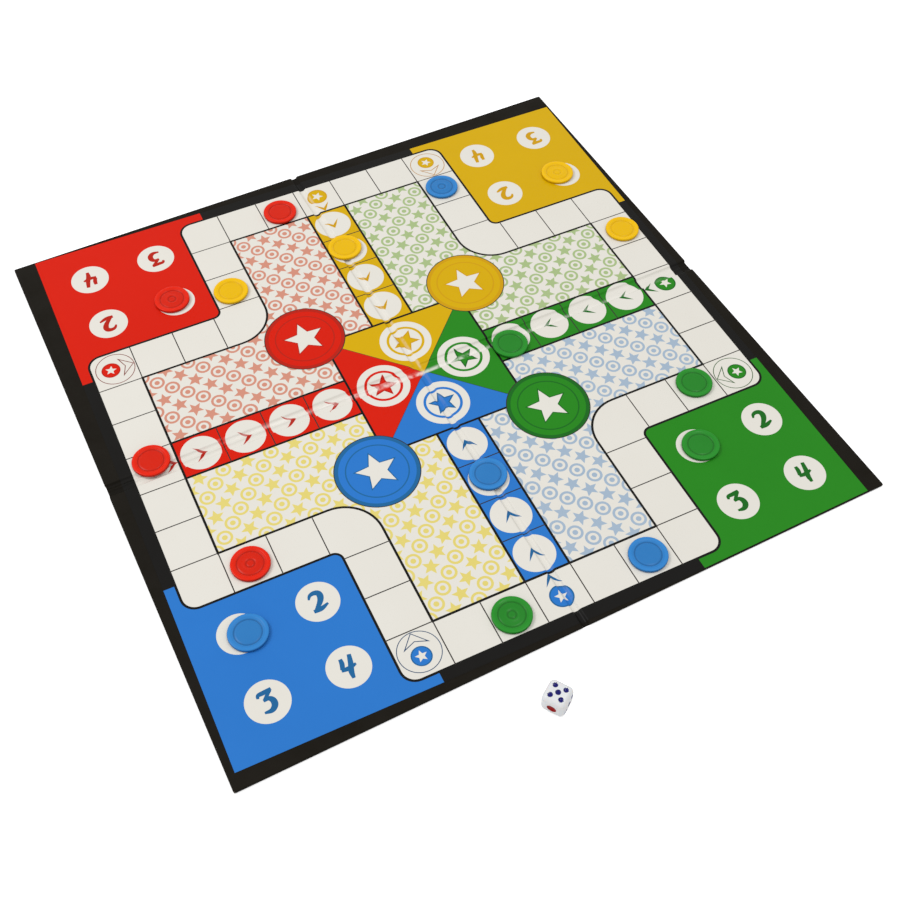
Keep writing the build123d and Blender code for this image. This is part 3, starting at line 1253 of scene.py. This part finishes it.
@dataclass
class Board:
    """The board: chipboard cores, the black wrap and the printed label."""

    sizes: BoardSizes
    relief: FoldRelief
    effects: Effects
    nodes: dict[str, Object]

    def build(self) -> None:
        """Build and dress the board."""
        leatherette, chipboard = LEATHERETTE.build(self.effects), CHIPBOARD.build(self.effects)
        sheets = TopSheets(self.sizes, self.relief, self.effects).build(leatherette)
        for region, piece in sheets["label"].items():
            self._dress(piece, region, "label")
        for region, piece in sheets["border"].items():
            extra = mesh_piece(piece.name + "_skin", self._skin(region), [leatherette])
            merge(piece.data, extra.data)
            bpy.data.objects.remove(extra)
            piece.data.polygons.foreach_set("use_smooth", [True] * len(piece.data.polygons))
            thicken(piece, self.sizes.sheet)
            self._dress(piece, region, "wrap")
        # The label covers the crossing on top, so the wrap has only its back there.
        back = mesh_piece("border_crossing_sheet", self._skin(Region.CROSSING), [leatherette])
        thicken(back, self.sizes.sheet)
        self._dress(back, Region.CROSSING, "wrap")
        for name, node in self.nodes.items():
            if name.startswith("core_"):
                node.data.materials.clear()
                node.data.materials.append(chipboard)
                LOG.info("chipboard core: %s", name)

    def _dress(self, piece: Object, region: Region, sheet: str) -> None:
        """Hide the node that a panel's piece of a sheet stands in for, fix the piece where it belongs and
        log its faces.

        Args:
            piece: The piece.
            region: Where it belongs.
            sheet: First word of the nodes that the sheet stands for.
        """
        name = region.name.lower()
        if region.whole:
            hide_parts(sheet + "_" + name)
        region.carry(piece, self.sizes)
        LOG.info("%s, %s: %d faces", sheet, name, len(piece.data.polygons))

    def _skin(self, region: Region) -> Skin:
        """What the wrap has besides its turned-in border, in one region."""
        return self._panel_skin(Home[region.name]) if region.whole else self._strip_skin(region)

    def _panel_skin(self, home: Home) -> Skin:
        """Edges and back of the wrap on one panel.

        Args:
            home: The player whose quadrant it is.

        Returns:
            The points and the faces.
        """
        s, sx, sy = self.sizes, home.sx, home.sy
        r, top, centre = s.edge_radius, s.border_top, s.half - s.corner_radius
        bend = np.linspace(0, math.pi / 2, 5)
        profile = [(r - r * math.sin(a), top - r + r * math.cos(a)) for a in bend]
        profile += [(r - r * math.cos(a), r - r * math.sin(a)) for a in bend]
        profile += [(6.0, 0.0)]
        corner = np.linspace(0, math.pi / 2, 7)[1:-1]
        far = list(np.linspace(8, centre, 16))
        across = [step for step in self.relief.narrow_steps if step >= s.narrow_half] + far
        along = [step for step in self.relief.wide_steps if step >= s.wide_half] + far
        path = [(x, centre, 0.0, 1.0) for x in across]
        path += [(centre, centre, math.sin(a), math.cos(a)) for a in corner]
        path += [(centre, y, 1.0, 0.0) for y in reversed(along)]
        points: list[Point3] = []
        faces: list[Face] = []
        rows: list[Face] = []
        for px, py, nx, ny in path:
            rows.append(range(len(points), len(points) + len(profile)))
            for inset, z in profile:
                reach = s.corner_radius - inset
                limit = centre + min(reach, 0.0)
                x = sx * (min(px, limit) + nx * max(reach, 0.0))
                y = sy * (min(py, limit) + ny * max(reach, 0.0))
                level = (top - self.relief.depth(x, y)) / top if z > 0.01 else 1.0
                points.append((x, y, z * level))
        for one, two in zip(rows, rows[1:]):
            faces += [[one[k], two[k], two[k + 1], one[k + 1]] for k in range(len(profile) - 1)]
        faces.append([row[-1] for row in rows] + [len(points)])
        points.append((sx * s.narrow_half, sy * s.wide_half, 0.0))
        return points, faces if sx * sy > 0 else [face[::-1] for face in faces]

    def _strip_skin(self, region: Region) -> Skin:
        """Back of the wrap under one fold line.

        Args:
            region: The strip.

        Returns:
            The points and the faces.
        """
        n, w, end = self.sizes.narrow_half, self.sizes.wide_half, self.sizes.half - 0.25
        x0, y0, x1, y1 = {
            Region.BACK_STRIP: (-n, w, n, end), Region.FRONT_STRIP: (-n, -end, n, -w),
            Region.RIGHT_STRIP: (n, -w, end, w), Region.LEFT_STRIP_RED: (-end, 0.0, -n, w),
            Region.LEFT_STRIP_BLUE: (-end, -w, -n, 0.0), Region.CROSSING: (-n, -w, n, w)}[region]
        nx, ny = (12, 40) if region in (Region.BACK_STRIP, Region.FRONT_STRIP) else (40, 12)
        points = [(x0 + (x1 - x0) * i / nx, y0 + (y1 - y0) * j / ny, 0.0)
                  for j in range(ny + 1) for i in range(nx + 1)]
        firsts = [j * (nx + 1) + i for j in range(ny) for i in range(nx)]
        return points, [[a, a + nx + 1, a + nx + 2, a + 1] for a in firsts]


# ---- loose pieces ------------------------------------------------------------------------------
def lathe(profile: Sequence[Point], segments: int) -> Skin:
    """Turn a profile about the upright axis.

    Args:
        profile: Radius and height of each point; the first and last are on the axis.
        segments: Steps round the axis.

    Returns:
        The points and the faces.
    """
    points = [(0.0, 0.0, profile[0][1])]
    faces: list[Face] = []
    rows: list[Face] = []
    for radius, height in profile[1:-1]:
        rows.append(range(len(points), len(points) + segments))
        points += [(x, y, height) for x, y in circle((0.0, 0.0), radius, segments)]
    last = len(points)
    points.append((0.0, 0.0, profile[-1][1]))
    for k in range(segments):
        ahead = (k + 1) % segments
        faces += [[0, rows[0][k], rows[0][ahead]], [last, rows[-1][ahead], rows[-1][k]]]
        faces += [[one[k], two[k], two[ahead], one[ahead]] for one, two in zip(rows, rows[1:])]
    return points, faces


@dataclass
class Counters:
    """The sixteen moulded counters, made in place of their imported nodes.

    Both faces have a recess inside the rim, with a groove at its foot. The ringed face also has a
    button with a step round it.
    """

    nodes: dict[str, Object]
    effects: Effects
    radius: float = 10.0
    thickness: float = 2.0
    rim: float = 1.8
    recess: float = 0.4
    groove: float = 0.2
    groove_radius: float = 6.75
    floor_radius: float = 5.4
    step_radius: float = 3.25
    button_radius: float = 1.6
    packed_button: float = 2.0
    segments: int = 112

    def _face(self, ringed: bool) -> list[Point]:
        """Profile of one face, from the axis to the outer edge.

        Args:
            ringed: Whether it is the face with the button.

        Returns:
            The radius and the depth under the rim of each point.
        """
        floor, deep, ledge = self.recess, self.recess + self.groove, self.recess * 0.4
        foot, inner, outer = self.groove_radius, self.radius - self.rim, self.radius
        made: list[Point] = [(0.0, floor), (self.floor_radius, floor)]
        if ringed:
            b, t = self.button_radius, self.step_radius
            made = [(0.0, floor + 0.04), (b - 0.5, floor - 0.02), (b, floor + 0.02), (b + 0.25, deep),
                    (b + 0.7, deep), (t - 0.35, floor - 0.06), (t - 0.1, floor - 0.14),
                    (t + 0.2, floor - 0.12), (t + 0.6, floor), (self.floor_radius, floor)]
        return made + [
            (foot - 0.4, floor), (foot - 0.2, deep), (foot + 0.15, deep), (foot + 0.4, floor * 0.85),
            (foot + 0.7, ledge), (inner - 0.5, ledge + 0.04), (inner - 0.2, ledge + 0.04),
            (inner + 0.1, 0.03), (inner + 0.35, 0.0), (outer - 0.75, 0.0), (outer - 0.45, 0.04),
            (outer - 0.2, 0.16), (outer - 0.07, 0.34), (outer - 0.02, 0.5)]

    def build(self) -> None:
        """Build every counter where its node lies."""
        finishes = {colour: colour.finish().build(self.effects) for colour in CounterColour}
        outer, inside = self.radius, self.radius - 0.02
        seam = [(inside, 0.94), (outer, 0.97), (outer, 1.03), (inside, 1.06)]
        for name in sorted(name for name in self.nodes if name.startswith("counter_")):
            colour = CounterColour[name.split("_")[1].upper()]
            low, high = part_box(name)
            middle = (low + high) / 2
            ringed = self._ringed_up(name, middle, high.z)
            top = [(r, self.thickness - d) for r, d in self._face(ringed)]
            skin = lathe(self._face(not ringed) + seam + top[::-1], self.segments)
            piece = mesh_piece(name + "_moulding", skin, [finishes[colour]])
            spin = random.Random(name).uniform(0, 360)
            piece.data.transform(Matrix.Rotation(math.radians(spin), 4, "Z"))
            piece.data.transform(Matrix.Translation(Vector((middle.x, middle.y, low.z))))
            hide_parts(name)
            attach(piece, self.nodes[name]["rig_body"])
            LOG.info("%s, %s face up", name, "ringed" if ringed else "plain")

    def _ringed_up(self, name: str, middle: Vector, high: float) -> bool:
        """Find which face of a packed counter lies up.

        Args:
            name: The counter's node.
            middle: Middle of its box, in metres.
            high: Height of its top, in metres.

        Returns:
            Whether its button is on the upper face.
        """
        margin = 0.1
        near = [v.co.z for v in self.nodes[name].data.vertices
                if (v.co.xy - middle.xy).length < (self.packed_button + margin) * MM and v.co.z > middle.z]
        return bool(near) and max(near) > high - (self.recess - margin) * MM


Pip = tuple[Point, float, float]


@dataclass
class Die:
    """The white die with dished, painted pips, whose single pip is wider and deeper than the others."""

    effects: Effects
    side: float = 12.0
    edge: float = 2.7
    pip: float = 2.7
    pip_depth: float = 0.5
    one_pip: float = 4.7
    one_depth: float = 0.7
    pitch: float = 2.75
    turn: float = -56.1
    place: Point = (-32.4, -205.9)
    fine: int = 44
    paint: float = 0.03

    def _faces(self) -> list[tuple[Matrix, list[Pip], str]]:
        """The six faces, with their pips.

        Returns:
            Each face's turn from the top, its pips' middles, radii and depths, and their paint.
        """
        p, quarter = self.pitch, math.pi / 2
        middle, falling = [(0.0, 0.0)], [(-p, p), (p, -p)]
        corners = [(-p, -p), (-p, p), (p, -p), (p, p)]
        spots = {5: corners + middle, 2: falling, 3: [falling[0], *middle, falling[1]], 4: corners,
                 6: corners + [(-p, 0.0), (p, 0.0)], 1: middle}
        turns = {5: (0, "X"), 2: (2, "X"), 3: (1, "Y"), 4: (-1, "Y"), 6: (-1, "X"), 1: (1, "X")}
        made = []
        for number, (quarters, axis) in turns.items():
            wide, deep, paint = self.pip, self.pip_depth, "blue"
            if number == 1:
                wide, deep, paint = self.one_pip, self.one_depth, "red"
            pips = [(spot, wide / 2, deep) for spot in spots[number]]
            made.append((Matrix.Rotation(quarters * quarter, 3, axis), pips, paint))
        return made

    def build(self) -> None:
        """Build the body and the paint in its pips."""
        skins: dict[str, Skin] = {"body": ([], []), "blue": ([], []), "red": ([], [])}
        for turn, pips, paint in self._faces():
            self._face(turn, pips, skins["body"], skins[paint])
        spin = Matrix.Rotation(math.radians(self.turn), 4, "Z")
        shift = Matrix.Translation(Vector((*self.place, self.side / 2)) * MM)
        for key, name, node, finish in (("body", "die_shell", "die_body", DIE_WHITE),
                                        ("blue", "die_pips_blue", "die_paint_blue", PIP_BLUE),
                                        ("red", "die_pip_red", "die_paint_red", PIP_RED)):
            piece = mesh_piece(name, skins[key], [finish.build(self.effects)])
            merge(piece.data)
            piece.data.transform(shift @ spin)
            if key != "body":
                thicken(piece, self.paint)
            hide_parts(node)
            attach(piece, "die")
            LOG.info("die, %s: %d faces", name, len(piece.data.polygons))

    def _face(self, turn: Matrix, pips: Sequence[Pip], body: Skin, paint: Skin) -> None:
        """Make one face of the die, and the paint in its pips.

        Args:
            turn: Its turn from the top.
            pips: Middle, radius and depth of each pip.
            body: Points and faces of the body, which grow.
            paint: Points and faces of the paint, which grow.
        """
        half, flat, snap, dish = self.side / 2, self.side / 2 - self.edge, 0.105, 1.3
        bend = [flat + self.edge * math.tan(math.radians(a)) for a in (9, 18, 27, 36, 45)]
        steps = [-b for b in reversed(bend)] + list(np.linspace(-flat, flat, self.fine + 1)) + bend
        count = len(steps)
        points: list[tuple[Vector, float]] = []
        painted: list[bool] = []
        for y in steps:
            for x in steps:
                place = Vector((x, y, half))
                held = Vector((min(max(x, -flat), flat), min(max(y, -flat), flat), flat))
                out = (place - held).normalized() if place != held else Vector((0, 0, 1))
                spot = held + out * self.edge
                depth, in_pip = 0.0, False
                for (px, py), radius, deep in pips:
                    away = Vector((x - px, y - py))
                    gap = away.length
                    if abs(gap - radius) < snap and gap > 1e-6:
                        away = away * (radius / gap)
                        spot = Vector((px + away.x, py + away.y, spot.z))
                        gap = radius
                    if gap <= radius:
                        depth = deep * math.sqrt(max(1 - (gap / radius) ** 2, 0.0)) ** dish
                        in_pip = True
                points.append((spot, depth))
                painted.append(in_pip)
        for (store, faces), lift in ((body, 0.0), (paint, self.paint)):
            start = len(store)
            for spot, depth in points:
                store.append(tuple(turn @ (spot - Vector((0, 0, depth - (lift if depth > 0 else 0.0))))))
            for a in (j * count + i for j in range(count - 1) for i in range(count - 1)):
                ids = [a, a + 1, a + count + 1, a + count]
                if not lift or all(painted[k] for k in ids):
                    faces.append([start + k for k in ids])


# ---- stage -------------------------------------------------------------------------------------
def aimed(name: str, data: bpy.types.ID, place: Sequence[float], gaze: Vector) -> Object:
    """Make an object that looks along a direction.

    Args:
        name: Its name.
        data: Its data.
        place: Where it stands, in metres.
        gaze: The direction.

    Returns:
        The object.
    """
    made = add_object(name, data)
    made.location = place
    made.rotation_mode = "QUATERNION"
    made.rotation_quaternion = gaze.to_track_quat("-Z", "Y")
    return made


@dataclass
class Studio:
    """The pale floor, the soft light and the camera, whose place is in metres and roll in degrees."""

    lens: float = 48.146
    place: Point3 = (-0.18318, -0.39075, 0.51033)
    gaze: Point3 = (0.2736, 0.5278, -0.8042)
    roll: float = 0.154
    world_light: float = 0.62
    floor_half: float = 4000.0
    floor_glow: float = 0.45

    def build(self) -> None:
        """Build everything, with a large key light from the back left and a weaker one from the right."""
        self._camera()
        self._floor()
        self._world()
        self._lamp("key", (-1.0, 0.5, 1.4), size=0.6, power=10.0)
        self._lamp("top", (0.45, -0.25, 1.6), size=0.3, power=5.0)

    def _camera(self) -> None:
        """Place the camera."""
        data = bpy.data.cameras.new("camera")
        data.sensor_width = 36.0
        data.lens = self.lens
        data.clip_start, data.clip_end = 0.01, 50.0
        made = aimed("camera", data, self.place, Vector(self.gaze).normalized())
        made.rotation_quaternion @= Matrix.Rotation(math.radians(self.roll), 3, "Z").to_quaternion()
        bpy.context.scene.camera = made

    def _floor(self) -> None:
        """A wide floor that shows white and keeps the shadow."""
        made, graph, shader = start_material("floor")
        shader.inputs["Base Color"].default_value = (0.9, 0.9, 0.9, 1.0)
        shader.inputs["Roughness"].default_value = 0.9
        shader.inputs["Specular IOR Level"].default_value = 0.1
        seen = graph.add("LightPath").outputs["Is Camera Ray"]
        none = graph.add("Emission", Strength=0.0).outputs[0]
        glow = graph.add("Emission", Strength=self.floor_glow).outputs[0]
        both = graph.add("AddShader", shader.outputs[0], graph.add("MixShader", seen, none, glow).outputs[0])
        graph.put(graph.tree.nodes["Material Output"].inputs["Surface"], both.outputs[0])
        half = self.floor_half
        corners = [(x, y, 0.0) for x, y in box(-half, -half, half, half)]
        floor = mesh_piece("floor", (corners, [range(4)]), [made])
        floor.location.z = -0.0001

    def _world(self) -> None:
        """A world that lights evenly and shows white."""
        world = bpy.data.worlds.new("studio")
        bpy.context.scene.world = world
        world.use_nodes = True
        graph = Graph(world.node_tree)
        light = graph.tree.nodes["Background"]
        light.inputs["Color"].default_value = WHITE
        light.inputs["Strength"].default_value = self.world_light
        white = graph.add("Background", WHITE, 1.0).outputs[0]
        rays = graph.add("LightPath").outputs
        seen = graph.maths("MAXIMUM", rays["Is Camera Ray"], rays["Is Glossy Ray"])
        seen = graph.maths("MAXIMUM", seen, rays["Is Transmission Ray"])
        mixed = graph.add("MixShader", seen, light.outputs[0], white).outputs[0]
        graph.put(graph.tree.nodes["World Output"].inputs["Surface"], mixed)

    def _lamp(self, name: str, place: Point3, size: float, power: float) -> None:
        """Place a square light that looks at the origin.

        Args:
            name: Its name.
            place: Where it stands, in metres.
            size: The square's side, in metres.
            power: Its power, in watts.
        """
        data = bpy.data.lights.new(name, "AREA")
        data.shape = "SQUARE"
        data.size = size
        data.energy = power
        aimed(name, data, place, -Vector(place))


def main() -> None:
    """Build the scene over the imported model."""
    logging.basicConfig(level=logging.INFO, format="%(name)s: %(message)s")
    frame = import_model()
    effects, sizes = Effects(), BoardSizes()
    Studio().build()
    Board(sizes, FoldRelief(sizes), effects, frame["nodes"]).build()
    Counters(frame["nodes"], effects).build()
    Die(effects).build()
    bpy.context.scene.view_settings.view_transform = "Standard"


if __name__ == "__main__":
    main()
